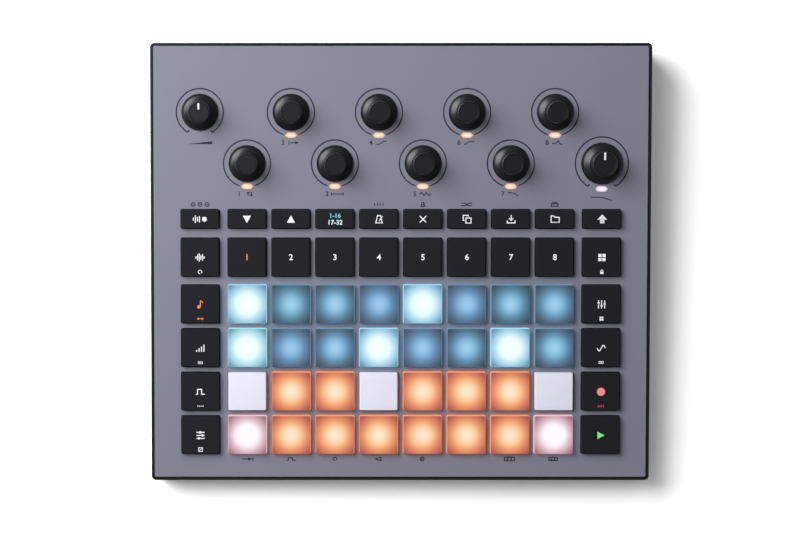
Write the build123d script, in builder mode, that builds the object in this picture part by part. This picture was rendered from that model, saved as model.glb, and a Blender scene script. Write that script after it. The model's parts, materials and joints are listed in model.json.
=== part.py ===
from build123d import *
import math
import os

# A desktop groovebox: a flat wedge with a keyboard of square pads, function keys and two rows of knobs.
# Sizes are in millimetres. +X runs right, +Y to the back and +Z up, and the origin lies on the table
# under the middle of the case. The panel slopes up to the back, so what sits on it is drawn in panel
# coordinates: u to the right, v up the slope and w out of the panel, with 0 at the middle of its surface.

# Key field
key_columns = 8
pad_row_count = 4
key_size = 18.5
key_gap = 2.55
pad_size = 18.65
slim_key_length = 9.15
side_column_gap = 1.45
track_row_gap = 1.45
slim_row_gap = 4.5
key_corner = 0.8
key_height = 3.0
key_draft = 7.0
key_edge_radius = 0.25
key_travel = 1.0
flange_lip = 0.65
flange_thickness = 1.0

# Knobs, their shafts and the lamps below them
knob_radius = 8.8
filter_knob_radius = 10.0
knob_height = 12.5
knob_gap = 0.7
knob_row_gap = 22.0
knob_row_pitch = 24.5
knob_flange_side = 0.15
knob_flange_width = 1.1
knob_flange_height = 2.2
knob_skirt_height = 1.4
knob_skirt_hollow = 0.15
knob_stem_taper = 0.25
knob_top_inset = 3.6
filter_knob_top_inset = 4.1
knob_edge_bevel = 0.2
knob_rim_width = 0.75
knob_dish_depth = 0.35
shaft_radius = 3.0
shaft_flat_depth = 1.5
shaft_seat_length = 7.5
bush_radius = 3.5
bush_rise = 2.4
lens_length = 5.8
lens_width = 2.7
lens_tip = 1.1
lens_drop = 2.2
lens_foot = 1.0
lens_foot_lip = 0.8

# Case and faceplate
panel_slope = 3.5
side_margin = 14.575
front_margin = 12.95
back_margin = 33.15
wall = 2.4
floor_thickness = 2.2
case_corner_radius = 2.2
inside_corner_radius = 1.0
base_chamfer = 2.0
rim_width = 1.2
rim_drop = 0.3
rim_edge_radius = 0.5
socket_recess = 0.3
plate_thickness = 2.0
plate_corner_radius = 0.8
plate_bevel = 0.3
foot_radius = 7.0
foot_height = 3.0
foot_recess = 1.0
foot_inset = 19.0
foot_edge_radius = 0.8

# Inside
board_thickness = 1.6
board_corner_radius = 1.0
encoder_body_size = 12.4
encoder_body_height = 6.2
pot_body_radius = 8.2
body_floor = 0.6
keymat_thickness = 1.0
dome_radius = 5.0
dome_draft = 12.0
dome_hole_radius = 3.2
led_size = 3.4
led_height = 1.5
boss_radius = 3.0
column_radius = 4.5
column_web = 3.5
screw_radius = 1.4
screw_head_radius = 2.7
screw_head_height = 2.0
screw_length = 10.0
short_screw_length = 5.2
post_radius = 3.2
post_height = 3.2
battery_width = 100.0
battery_depth = 58.0
battery_thickness = 6.5
battery_corner_radius = 3.0
battery_edge_radius = 1.0
battery_shift = -28.0
battery_rib = 1.5
battery_rib_height = 4.0
chip_heights = (1.2, 1.0, 0.9)
chip_sizes = (12.0, 9.0, 7.0)
plug_width = 22.0
plug_depth = 4.0
plug_height = 2.2
ribbon_width = 18.0
ribbon_thickness = 0.4
ribbon_bend_radius = 1.2
ribbon_lead = 2.2
ribbon_shift = 8.0

# Back sockets
jack_width = 12.0
jack_depth = 24.0
jack_height = 11.5
jack_bore_radius = 3.25
jack_bore_depth = 21.0
jack_nose_radius = 5.2
jack_mouth_radius = 4.2
jack_headroom = 1.6
mini_width = 10.0
mini_depth = 15.0
mini_height = 9.0
mini_bore_radius = 1.8
mini_bore_depth = 13.0
mini_nose_radius = 4.5
mini_mouth_radius = 3.0
din_width = 20.0
din_depth = 15.5
din_height = 17.5
din_nose_radius = 8.2
din_mouth_radius = 7.6
din_bore_radius = 7.2
din_bore_depth = 7.0
din_pin_radius = 0.75
din_pin_circle = 3.75
din_pin_depth = 5.0
usb_width = 9.0
usb_height = 3.3
usb_depth = 8.0
usb_shell = 0.35
usb_tongue_width = 6.6
usb_tongue_height = 0.8
card_width = 14.0
card_depth = 15.0
card_height = 2.0
card_slot_width = 11.4
card_slot_height = 1.0
card_slot_depth = 13.0
power_radius = 3.2
power_flange_lip = 1.0
power_flange_thickness = 1.0
power_stem_radius = 1.4
power_stem_reach = 2.0
power_travel = 1.2
power_switch_width = 10.0
power_switch_depth = 7.0
lock_width = 7.0
lock_height = 3.0
lock_inset = 14.0
lock_rise = 16.0
socket_gap = 2.0

# Clearances
plate_gap = 0.35
window_gap = 0.25
flange_gap = 0.3
travel_margin = 0.3
hole_gap = 0.2
lens_gap = 0.12
running_gap = 0.05
seat_gap = 0.03
body_gap = 0.3
board_gap = 1.3
socket_board_gap = 1.6
battery_gap = 0.4
foot_gap = 0.1
screw_gap = 0.1
board_edge = 4.4

# Panel layout
slope_sin = math.sin(math.radians(panel_slope))
slope_cos = math.cos(math.radians(panel_slope))
slope_tan = slope_sin / slope_cos
key_pitch = key_size + key_gap
side_column_u = (key_columns + 1) / 2 * key_pitch + side_column_gap
column_u = [(i - (key_columns - 1) / 2) * key_pitch for i in range(key_columns)]
field_length = (pad_row_count - 1) * key_pitch
slim_to_track = (key_size + slim_key_length) / 2 + slim_row_gap
slim_to_knobs = slim_key_length / 2 + knob_row_gap
panel_length = front_margin + key_size / 2 + field_length + key_pitch + track_row_gap
panel_length += slim_to_track + slim_to_knobs + knob_row_pitch + back_margin
panel_front = -panel_length / 2
top_pad_v = panel_front + front_margin + key_size / 2 + field_length
pad_row_v = [top_pad_v - i * key_pitch for i in range(pad_row_count)]
track_v = pad_row_v[0] + key_pitch + track_row_gap
slim_v = track_v + slim_to_track
low_knob_v = slim_v + slim_to_knobs
high_knob_v = low_knob_v + knob_row_pitch
case_width = 2 * (side_column_u + key_size / 2 + side_margin)
case_depth = panel_length * slope_cos
plate_width = case_width - 2 * (rim_width + plate_gap)
plate_length = panel_length - 2 * (rim_width + plate_gap)

# Levels below the panel surface, measured along w
plate_under = -plate_thickness
flange_top = plate_under - flange_gap
flange_under = flange_top - flange_thickness
dome_top = flange_under - key_travel - travel_margin
board_top = plate_under - body_gap - encoder_body_height
board_under = board_top - board_thickness
screw_seat = board_under - column_web
screw_tip = screw_seat + screw_length

# Levels above the table, measured along Z
case_under = foot_height - foot_recess
floor_top = case_under + floor_thickness
post_top = floor_top + post_height
socket_seat = post_top + board_thickness
inner_back = case_depth / 2 - wall
jack_front = inner_back - jack_depth
panel_height = socket_seat + jack_height + jack_headroom - board_under / slope_cos - jack_front * slope_tan
panel = Plane(origin=(0, 0, panel_height), x_dir=(1, 0, 0), z_dir=(0, -slope_sin, slope_cos))
out_of_panel = Axis((0, 0, panel_height), (0, -slope_sin, slope_cos))
back_wall = Plane.XZ.offset(-case_depth / 2)
inner_back_wall = Plane.XZ.offset(-inner_back)

# Key sites, as name, u and v
slim_names = ["sampling", "down", "up", "page", "tempo", "clear", "duplicate", "save", "projects", "shift"]
slim_u = [-side_column_u] + column_u + [side_column_u]
slim_sites = [(name + "_button", u, slim_v) for name, u in zip(slim_names, slim_u)]
track_sites = [(f"track_button_{i + 1}", u, track_v) for i, u in enumerate(column_u)]
left_names = ["sample", "note", "velocity", "gate", "settings"]
right_names = ["patterns", "mixer", "effects", "record", "play"]
side_v = [track_v] + pad_row_v
left_sites = [(name + "_button", -side_column_u, v) for name, v in zip(left_names, side_v)]
right_sites = [(name + "_button", side_column_u, v) for name, v in zip(right_names, side_v)]
square_sites = track_sites + left_sites + right_sites
slim_points = [(u, v) for name, u, v in slim_sites]
square_points = [(u, v) for name, u, v in square_sites]
pad_points = [(u, v) for v in pad_row_v for u in column_u]

# Knob sites
encoder_points = [(u, high_knob_v if i % 2 else low_knob_v) for i, u in enumerate(column_u)]
volume_point = (-side_column_u, high_knob_v)
filter_point = (side_column_u, low_knob_v)
knob_points = encoder_points + [volume_point, filter_point]
lens_points = [(u, v - knob_radius - lens_drop) for u, v in encoder_points]
lens_points.append((filter_point[0], filter_point[1] - filter_knob_radius - lens_drop))

# Control board outline, behind which the tall sockets stand
board_front_v = panel_front + wall + board_gap
board_back_v = (inner_back - din_depth - socket_board_gap + board_under * slope_sin) / slope_cos
board_width = case_width - 2 * (wall + board_gap)
board_length = board_back_v - board_front_v
board_middle_v = (board_back_v + board_front_v) / 2

# Case screws stand in the margins round the keys and one between the knob rows
screw_u = case_width / 2 - (wall + side_margin - flange_lip) / 2
screw_front_v = panel_front + (wall + front_margin - flange_lip) / 2
screw_back_v = board_back_v - board_edge
screw_middle_v = (pad_row_v[0] + track_v) / 2
screw_side_v = (screw_front_v, screw_middle_v, screw_back_v)
screw_points = [(side * screw_u, v) for side in (-1, 1) for v in screw_side_v]
screw_points += [(0, screw_front_v), (0, (low_knob_v + high_knob_v) / 2)]

# Back sockets stand side by side, seen here from +X to -X
socket_widths = [power_switch_width, usb_width, card_width]
socket_widths += 3 * [din_width] + 2 * [mini_width] + 4 * [jack_width]
socket_row = sum(socket_widths) + socket_gap * (len(socket_widths) - 1)
socket_x = []
for i, width in enumerate(socket_widths):
    socket_x.append(socket_row / 2 - sum(socket_widths[:i]) - socket_gap * i - width / 2)
power_x, usb_x, card_x = socket_x[:3]
din_x = socket_x[3:6]
mini_x = socket_x[6:8]
jack_x = socket_x[8:]
jack_z = socket_seat + jack_height / 2
mini_z = socket_seat + mini_height / 2
din_z = socket_seat + din_height / 2
usb_z = socket_seat + usb_height / 2
card_z = socket_seat + card_height / 2
power_z = socket_seat + power_radius + power_flange_lip + body_gap

# Main board outline and its screws
main_back = inner_back - body_gap
main_front = jack_front - board_edge - screw_head_radius
main_width = socket_row + 4 * board_edge
main_screw_points = [
    (side * (main_width / 2 - board_edge), y)
    for side in (-1, 1)
    for y in (main_front + board_edge, main_back - board_edge)
]

os.makedirs("parts", exist_ok=True)


def save(piece, name):
    piece.label = name
    export_step(piece, f"parts/{name}.step")


# Faceplate, with bosses that reach down to the control board
with BuildPart() as faceplate:
    with BuildSketch(panel.offset(plate_under)):
        RectangleRounded(plate_width, plate_length, plate_corner_radius)
    extrude(amount=plate_thickness)
    chamfer(faceplate.faces().sort_by(out_of_panel)[-1].edges(), plate_bevel)
    with BuildSketch(panel.offset(plate_under)):
        with Locations(screw_points):
            Circle(boss_radius)
    extrude(amount=board_top - plate_under)
    with BuildSketch(panel.offset(board_top)):
        with Locations(screw_points):
            Circle(screw_radius + screw_gap)
    extrude(amount=screw_tip + screw_gap - board_top, mode=Mode.SUBTRACT)
    key_window = key_size + 2 * window_gap
    pad_window = pad_size + 2 * window_gap
    slim_window = slim_key_length + 2 * window_gap
    with BuildSketch(panel):
        with Locations(square_points):
            RectangleRounded(key_window, key_window, key_corner + window_gap)
        with Locations(pad_points):
            RectangleRounded(pad_window, pad_window, key_corner + window_gap)
        with Locations(slim_points):
            RectangleRounded(key_window, slim_window, key_corner + window_gap)
        with Locations(knob_points):
            Circle(bush_radius + hole_gap)
    extrude(amount=plate_under, mode=Mode.SUBTRACT)
    with BuildSketch(panel):
        lens_tip_u = lens_length / 2 + lens_gap
        lens_side_v = lens_width / 2 + lens_gap
        lens_side_u = lens_tip_u - lens_tip
        with Locations(lens_points):
            Polygon(
                (-lens_tip_u, 0), (-lens_side_u, -lens_side_v), (lens_side_u, -lens_side_v),
                (lens_tip_u, 0), (lens_side_u, lens_side_v), (-lens_side_u, lens_side_v),
            )
    extrude(amount=plate_under, mode=Mode.SUBTRACT)
save(faceplate.part, "faceplate")

# Lower case: a wedge-shaped tray with a rim round the faceplate
with BuildPart() as bottom_case:
    rim_height = panel_height - rim_drop / slope_cos
    with BuildSketch(Plane.YZ):
        Polygon(
            (-case_depth / 2, case_under), (case_depth / 2, case_under),
            (case_depth / 2, rim_height + case_depth / 2 * slope_tan),
            (-case_depth / 2, rim_height - case_depth / 2 * slope_tan),
        )
    extrude(amount=case_width / 2, both=True)
    fillet(bottom_case.edges().filter_by(Axis.Z), case_corner_radius)
    fillet(bottom_case.faces().sort_by(out_of_panel)[-1].edges(), rim_edge_radius)
    chamfer(bottom_case.faces().sort_by(Axis.Z)[0].edges(), base_chamfer)
    with BuildSketch(Plane.XY.offset(floor_top)):
        RectangleRounded(case_width - 2 * wall, case_depth - 2 * wall, inside_corner_radius)
    extrude(amount=panel_height + case_depth * slope_tan, mode=Mode.SUBTRACT)
    with BuildSketch(panel.offset(plate_under)):
        RectangleRounded(
            plate_width + 2 * plate_gap, plate_length + 2 * plate_gap, plate_corner_radius + plate_gap,
        )
    extrude(amount=plate_thickness, mode=Mode.SUBTRACT)
    # Columns for the case screws, posts for the main board and a frame round the battery
    with BuildSketch(panel.offset(board_under)):
        with Locations(screw_points):
            Circle(column_radius)
    extrude(until=Until.NEXT, dir=(0, slope_sin, -slope_cos))
    with BuildSketch(Plane.XY.offset(floor_top)):
        with Locations(main_screw_points):
            Circle(post_radius)
    extrude(amount=post_height)
    with BuildSketch(Plane.XY.offset(floor_top)):
        with Locations((0, battery_shift)):
            RectangleRounded(
                battery_width + 2 * (battery_gap + battery_rib),
                battery_depth + 2 * (battery_gap + battery_rib),
                battery_corner_radius + battery_gap + battery_rib,
            )
            RectangleRounded(
                battery_width + 2 * battery_gap,
                battery_depth + 2 * battery_gap,
                battery_corner_radius + battery_gap,
                mode=Mode.SUBTRACT,
            )
    extrude(amount=battery_rib_height)
    # Screw holes, with deep wells for the heads of the case screws
    with BuildSketch(panel.offset(board_under)):
        with Locations(screw_points):
            Circle(screw_radius + hole_gap)
    extrude(amount=-panel_height - case_depth * slope_tan, mode=Mode.SUBTRACT)
    with BuildSketch(panel.offset(screw_seat)):
        with Locations(screw_points):
            Circle(screw_head_radius + body_gap)
    extrude(amount=-panel_height - case_depth * slope_tan, mode=Mode.SUBTRACT)
    with BuildSketch(Plane.XY.offset(post_top)):
        with Locations(main_screw_points):
            Circle(screw_radius + screw_gap)
    extrude(amount=-(short_screw_length - board_thickness + screw_gap), mode=Mode.SUBTRACT)
    # Recesses for the feet
    with BuildSketch(Plane.XY.offset(case_under)):
        with GridLocations(case_width - 2 * foot_inset, case_depth - 2 * foot_inset, 2, 2):
            Circle(foot_radius + foot_gap)
    extrude(amount=foot_recess, mode=Mode.SUBTRACT)
    # Openings in the back wall
    with BuildSketch(back_wall):
        with Locations([(x, jack_z) for x in jack_x]):
            Circle(jack_nose_radius + hole_gap)
        with Locations([(x, mini_z) for x in mini_x]):
            Circle(mini_nose_radius + hole_gap)
        with Locations([(x, din_z) for x in din_x]):
            Circle(din_nose_radius + hole_gap)
        with Locations((power_x, power_z)):
            Circle(power_radius + hole_gap)
        with Locations((usb_x, usb_z)):
            SlotOverall(usb_width + 2 * hole_gap, usb_height + 2 * hole_gap)
        with Locations((card_x, card_z)):
            Rectangle(card_slot_width + 2 * hole_gap, card_slot_height + 2 * hole_gap)
        with Locations((lock_inset - case_width / 2, lock_rise)):
            SlotOverall(lock_width, lock_height)
    extrude(amount=wall, mode=Mode.SUBTRACT)
save(bottom_case.part, "bottom_case")

# Rubber feet in their recesses
with BuildPart() as rubber_feet:
    with BuildSketch(Plane.XY):
        with GridLocations(case_width - 2 * foot_inset, case_depth - 2 * foot_inset, 2, 2):
            Circle(foot_radius)
    extrude(amount=foot_height)
    fillet(rubber_feet.edges().group_by(Axis.Z)[0], foot_edge_radius)
save(rubber_feet.part, "rubber_feet")

# Control board, parallel to the panel
with BuildPart() as control_board:
    with BuildSketch(panel.offset(board_under)):
        with Locations((0, board_middle_v)):
            RectangleRounded(board_width, board_length, board_corner_radius)
        with Locations(screw_points):
            Circle(screw_radius + hole_gap, mode=Mode.SUBTRACT)
    extrude(amount=board_thickness)
save(control_board.part, "control_board")

# One lamp under every key and pad
with BuildPart() as key_leds:
    with BuildSketch(panel.offset(board_top)):
        with Locations(square_points + slim_points + pad_points):
            Rectangle(led_size, led_size)
    extrude(amount=led_height)
save(key_leds.part, "key_leds")

# Silicone keymat: a sheet on the board with a hollow dome under every key and pad
with BuildPart() as keymat:
    mat_front_v = pad_row_v[-1] - key_size / 2
    mat_back_v = slim_v + slim_key_length / 2
    with BuildSketch(panel.offset(board_top)):
        with Locations((0, (mat_front_v + mat_back_v) / 2)):
            RectangleRounded(2 * side_column_u + key_size, mat_back_v - mat_front_v, key_corner)
    extrude(amount=keymat_thickness)
    with BuildSketch(panel.offset(board_top)):
        with Locations(square_points + slim_points + pad_points):
            Circle(dome_radius)
    extrude(amount=dome_top - board_top, taper=dome_draft)
    with BuildSketch(panel.offset(board_top)):
        with Locations(square_points + slim_points + pad_points):
            Circle(dome_hole_radius)
    extrude(amount=dome_top - board_top, mode=Mode.SUBTRACT)
save(keymat.part, "keymat")

# Six-sided lamp windows: light pipes from the board up to the panel surface
with BuildPart() as indicator_lenses:
    with BuildSketch(panel.offset(board_top)):
        with Locations(lens_points):
            Rectangle(lens_length + 2 * lens_foot_lip, lens_width + 2 * lens_foot_lip)
    extrude(amount=lens_foot)
    with BuildSketch(panel.offset(board_top)):
        with Locations(lens_points):
            Polygon(
                (-lens_length / 2, 0), (lens_tip - lens_length / 2, -lens_width / 2),
                (lens_length / 2 - lens_tip, -lens_width / 2), (lens_length / 2, 0),
                (lens_length / 2 - lens_tip, lens_width / 2), (lens_tip - lens_length / 2, lens_width / 2),
            )
    extrude(amount=-board_top)
save(indicator_lenses.part, "indicator_lenses")


# Encoder and potentiometer bodies: a can on the board and a bush that carries the shaft
with BuildPart() as encoder_bodies:
    with BuildSketch(panel.offset(board_top)):
        with Locations(encoder_points):
            Rectangle(encoder_body_size, encoder_body_size)
    extrude(amount=encoder_body_height)
    with BuildSketch(panel.offset(board_top)):
        with Locations(encoder_points):
            Circle(bush_radius)
    extrude(amount=bush_rise - board_top)
    with BuildSketch(panel.offset(board_top + body_floor)):
        with Locations(encoder_points):
            Circle(shaft_radius + running_gap)
    extrude(amount=bush_rise - board_top, mode=Mode.SUBTRACT)
save(encoder_bodies.part, "encoder_bodies")

with BuildPart() as potentiometer_bodies:
    with BuildSketch(panel.offset(board_top)):
        with Locations(volume_point, filter_point):
            Circle(pot_body_radius)
    extrude(amount=encoder_body_height)
    with BuildSketch(panel.offset(board_top)):
        with Locations(volume_point, filter_point):
            Circle(bush_radius)
    extrude(amount=bush_rise - board_top)
    with BuildSketch(panel.offset(board_top + body_floor)):
        with Locations(volume_point, filter_point):
            Circle(shaft_radius + running_gap)
    extrude(amount=bush_rise - board_top, mode=Mode.SUBTRACT)
save(potentiometer_bodies.part, "potentiometer_bodies")


# A knob cap with a bevelled flange, a hollow skirt, a round grip and a dished top, and its flatted shaft
def make_knob(name, point, radius, top_inset):
    centre = panel.from_local_coords((point[0], point[1], 0))
    profile_plane = Plane(origin=centre, x_dir=panel.x_dir, z_dir=-panel.y_dir)
    top = knob_gap + knob_height
    side = knob_gap + knob_flange_side
    flange = side + knob_flange_height
    skirt = flange + knob_skirt_height
    skirt_radius = radius - knob_flange_width
    top_radius = radius - top_inset
    grip_radius = top_radius + knob_stem_taper
    dish_radius = top_radius - knob_rim_width
    seat_low = bush_rise + body_gap
    seat_high = seat_low + shaft_seat_length
    with BuildPart() as knob:
        with BuildSketch(profile_plane):
            with BuildLine():
                Polyline((0, knob_gap), (radius, knob_gap), (radius, side), (skirt_radius, flange))
                SagittaArc((skirt_radius, flange), (grip_radius, skirt), knob_skirt_hollow)
                Polyline(
                    (grip_radius, skirt), (top_radius, top - knob_edge_bevel),
                    (top_radius - knob_edge_bevel, top), (dish_radius + knob_edge_bevel, top),
                    (dish_radius, top - knob_dish_depth),
                    (0, top - knob_dish_depth), (0, knob_gap),
                )
            make_face()
        revolve(axis=Axis(centre, panel.z_dir))
        with BuildSketch(panel):
            with Locations(point):
                Circle(bush_radius + body_gap)
        extrude(amount=seat_low, mode=Mode.SUBTRACT)
        with BuildSketch(panel.offset(seat_low)):
            with Locations(point):
                Circle(shaft_radius + seat_gap)
            with Locations((point[0] + 2 * shaft_radius - shaft_flat_depth + seat_gap, point[1])):
                Rectangle(2 * shaft_radius, 3 * shaft_radius, mode=Mode.SUBTRACT)
        extrude(amount=shaft_seat_length + seat_gap, mode=Mode.SUBTRACT)
        with BuildSketch(panel.offset(board_top + body_floor + running_gap)):
            with Locations(point):
                Circle(shaft_radius)
        extrude(amount=seat_high - board_top - body_floor - running_gap)
        with BuildSketch(panel.offset(seat_low - seat_gap)):
            with Locations((point[0] + shaft_radius - shaft_flat_depth / 2, point[1])):
                Rectangle(shaft_flat_depth, 3 * shaft_radius)
        extrude(amount=shaft_seat_length + seat_gap, mode=Mode.SUBTRACT)
    save(knob.part, name)


for i, point in enumerate(encoder_points):
    make_knob(f"encoder_knob_{i + 1}", point, knob_radius, knob_top_inset)
make_knob("volume_knob", volume_point, knob_radius, knob_top_inset)
make_knob("filter_knob", filter_point, filter_knob_radius, filter_knob_top_inset)


# A key: a drafted cap that stands out of its window, with a flange that the faceplate holds in
def make_key(name, points, width, length, flange_width, flange_length, flange_point):
    with BuildPart() as key:
        with BuildSketch(panel.offset(flange_under)):
            with Locations(flange_point):
                RectangleRounded(flange_width, flange_length, key_corner)
        extrude(amount=flange_thickness)
        with BuildSketch(panel.offset(flange_top)):
            with Locations(points):
                RectangleRounded(width, length, key_corner)
        extrude(amount=-flange_top)
        with BuildSketch(panel):
            with Locations(points):
                RectangleRounded(width, length, key_corner)
        extrude(amount=key_height, taper=key_draft)
        fillet(key.faces().filter_by(panel).group_by(out_of_panel)[-1].edges(), key_edge_radius)
    save(key.part, name)


for name, u, v in square_sites:
    make_key(name, [(u, v)], key_size, key_size, key_size + 2 * flange_lip, key_size + 2 * flange_lip, (u, v))
for name, u, v in slim_sites:
    make_key(
        name, [(u, v)], key_size, slim_key_length,
        key_size + 2 * flange_lip, slim_key_length + 2 * flange_lip, (u, v),
    )

# Each row of pads is one silicone strip, held down under the faceplate by its common web
strip_width = column_u[-1] - column_u[0] + pad_size + 2 * flange_lip
strip_length = pad_size + 2 * flange_lip
for i, v in enumerate(pad_row_v):
    row_points = [(u, v) for u in column_u]
    make_key(f"pad_row_{i + 1}", row_points, pad_size, pad_size, strip_width, strip_length, (0, v))

# Main board on its posts, with the sockets along its back edge
with BuildPart() as main_board:
    with BuildSketch(Plane.XY.offset(post_top)):
        with Locations((0, (main_front + main_back) / 2)):
            RectangleRounded(main_width, main_back - main_front, board_corner_radius)
        with Locations(main_screw_points):
            Circle(screw_radius + hole_gap, mode=Mode.SUBTRACT)
    extrude(amount=board_thickness)
save(main_board.part, "main_board")


# Round jack sockets: a block behind the wall and a nose through it, bored for the plug
with BuildPart() as jack_sockets:
    for places, z, width, height, depth, nose, mouth, bore, bore_depth in (
        (jack_x, jack_z, jack_width, jack_height, jack_depth, jack_nose_radius, jack_mouth_radius,
         jack_bore_radius, jack_bore_depth),
        (mini_x, mini_z, mini_width, mini_height, mini_depth, mini_nose_radius, mini_mouth_radius,
         mini_bore_radius, mini_bore_depth),
    ):
        points = [(x, z) for x in places]
        with BuildSketch(inner_back_wall):
            with Locations(points):
                Rectangle(width, height)
        extrude(amount=depth)
        with BuildSketch(inner_back_wall):
            with Locations(points):
                Circle(nose)
        extrude(amount=-(wall - socket_recess))
        with BuildSketch(inner_back_wall):
            with Locations(points):
                Circle(mouth)
        extrude(amount=-wall, mode=Mode.SUBTRACT)
        with BuildSketch(inner_back_wall):
            with Locations(points):
                Circle(bore)
        extrude(amount=bore_depth, mode=Mode.SUBTRACT)
save(jack_sockets.part, "jack_sockets")

# Five-pole round sockets: a bore for the plug's shell with pin holes in its floor
with BuildPart() as midi_sockets:
    din_points = [(x, din_z) for x in din_x]
    with BuildSketch(inner_back_wall):
        with Locations(din_points):
            Rectangle(din_width, din_height)
    extrude(amount=din_depth)
    with BuildSketch(inner_back_wall):
        with Locations(din_points):
            Circle(din_nose_radius)
    extrude(amount=-(wall - socket_recess))
    with BuildSketch(inner_back_wall):
        with Locations(din_points):
            Circle(din_mouth_radius)
    extrude(amount=-wall, mode=Mode.SUBTRACT)
    with BuildSketch(inner_back_wall):
        with Locations(din_points):
            Circle(din_bore_radius)
    extrude(amount=din_bore_depth, mode=Mode.SUBTRACT)
    with BuildSketch(inner_back_wall.offset(din_bore_depth)):
        with Locations(din_points):
            with PolarLocations(din_pin_circle, 5, start_angle=0, angular_range=180, endpoint=True):
                Circle(din_pin_radius)
    extrude(amount=din_pin_depth, mode=Mode.SUBTRACT)
save(midi_sockets.part, "midi_sockets")

# Data socket: a rounded metal shell with a contact tongue
with BuildPart() as usb_socket:
    usb_mouth = Plane.XZ.offset(-(case_depth / 2 - socket_recess))
    with BuildSketch(usb_mouth):
        with Locations((usb_x, usb_z)):
            SlotOverall(usb_width, usb_height)
    extrude(amount=usb_depth + wall)
    with BuildSketch(usb_mouth):
        with Locations((usb_x, usb_z)):
            SlotOverall(usb_width - 2 * usb_shell, usb_height - 2 * usb_shell)
            Rectangle(usb_tongue_width, usb_tongue_height, mode=Mode.SUBTRACT)
    extrude(amount=usb_depth + wall - usb_shell, mode=Mode.SUBTRACT)
save(usb_socket.part, "usb_socket")

# Memory card slot: a flat can open to the back
with BuildPart() as card_slot:
    with BuildSketch(inner_back_wall):
        with Locations((card_x, card_z)):
            Rectangle(card_width, card_height)
    extrude(amount=card_depth)
    with BuildSketch(inner_back_wall):
        with Locations((card_x, card_z)):
            Rectangle(card_slot_width, card_slot_height)
    extrude(amount=card_slot_depth, mode=Mode.SUBTRACT)
save(card_slot.part, "card_slot")

# Power button, with a flange behind the wall and a stem into its switch
power_flange_back = inner_back - body_gap - power_flange_thickness
power_switch_front = power_flange_back - power_travel - travel_margin
with BuildPart() as power_button:
    with BuildSketch(Plane.XZ.offset(-(case_depth / 2 - socket_recess))):
        with Locations((power_x, power_z)):
            Circle(power_radius)
    extrude(amount=case_depth / 2 - socket_recess - power_flange_back)
    fillet(power_button.edges().group_by(Axis.Y)[-1], key_edge_radius)
    with BuildSketch(Plane.XZ.offset(-power_flange_back)):
        with Locations((power_x, power_z)):
            Circle(power_radius + power_flange_lip)
    extrude(amount=-power_flange_thickness)
    with BuildSketch(Plane.XZ.offset(-power_flange_back)):
        with Locations((power_x, power_z)):
            Circle(power_stem_radius)
    extrude(amount=power_flange_back - power_switch_front + power_stem_reach)
save(power_button.part, "power_button")

# Small parts on the main board: power switch, chips and the ribbon that joins the two boards
with BuildPart() as power_switch:
    with BuildSketch(Plane.XZ.offset(-power_switch_front)):
        with Locations((power_x, power_z)):
            Rectangle(power_switch_width, 2 * (power_z - socket_seat))
    extrude(amount=power_switch_depth)
    with BuildSketch(Plane.XZ.offset(-power_switch_front)):
        with Locations((power_x, power_z)):
            Circle(power_stem_radius + running_gap)
    extrude(amount=power_stem_reach + power_travel + travel_margin, mode=Mode.SUBTRACT)

chip_y = (main_front + inner_back - din_depth) / 2
with BuildPart() as chips:
    for x, size, height in zip(din_x, chip_sizes, chip_heights):
        with BuildSketch(Plane.XY.offset(socket_seat)):
            with Locations((x, chip_y)):
                Rectangle(size, size)
        extrude(amount=height)

plug_x = (card_x + usb_x) / 2
plug_y = main_front + plug_depth
upper_plug_v = (plug_y - ribbon_shift) / slope_cos + board_under * slope_tan
upper_plug_under = panel.from_local_coords((plug_x, upper_plug_v, board_under - plug_height))
with BuildPart() as plugs:
    with BuildSketch(Plane.XY.offset(socket_seat)):
        with Locations((plug_x, plug_y)):
            Rectangle(plug_width, plug_depth)
    extrude(amount=plug_height)
    with BuildSketch(panel.offset(board_under)):
        with Locations((plug_x, upper_plug_v)):
            Rectangle(plug_width, plug_depth)
    extrude(amount=-plug_height)

ribbon_low = socket_seat + plug_height + seat_gap
ribbon_high = upper_plug_under.Z - plug_depth / 2 * slope_tan - seat_gap
with BuildPart() as ribbon:
    with BuildSketch(Plane.YZ.offset(plug_x)):
        with BuildLine():
            FilletPolyline(
                (plug_y, ribbon_low), (plug_y, ribbon_low + ribbon_lead),
                (upper_plug_under.Y, ribbon_high - ribbon_lead), (upper_plug_under.Y, ribbon_high),
                radius=ribbon_bend_radius,
            )
        trace(line_width=ribbon_thickness)
    extrude(amount=ribbon_width / 2, both=True)
small_parts = [power_switch.part, chips.part, plugs.part, ribbon.part]
save(Compound(children=small_parts), "board_components")

# Battery pack in its frame on the floor
with BuildPart() as battery:
    with BuildSketch(Plane.XY.offset(floor_top)):
        with Locations((0, battery_shift)):
            RectangleRounded(battery_width, battery_depth, battery_corner_radius)
    extrude(amount=battery_thickness)
    fillet(battery.edges().group_by(Axis.Z)[-1], battery_edge_radius)
save(battery.part, "battery")

# Case screws from below and short screws that hold the main board
with BuildPart() as screws:
    with BuildSketch(panel.offset(screw_seat)):
        with Locations(screw_points):
            Circle(screw_head_radius)
    extrude(amount=-screw_head_height)
    with BuildSketch(panel.offset(screw_seat)):
        with Locations(screw_points):
            Circle(screw_radius)
    extrude(amount=screw_length)
    with BuildSketch(Plane.XY.offset(socket_seat)):
        with Locations(main_screw_points):
            Circle(screw_head_radius)
    extrude(amount=screw_head_height)
    with BuildSketch(Plane.XY.offset(socket_seat)):
        with Locations(main_screw_points):
            Circle(screw_radius)
    extrude(amount=-short_screw_length)
save(screws.part, "screws")

print("case", case_width, case_depth, "panel height", panel_height)
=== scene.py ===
import json
import math

import bmesh
import bpy
from mathutils import Matrix, Vector


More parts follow.
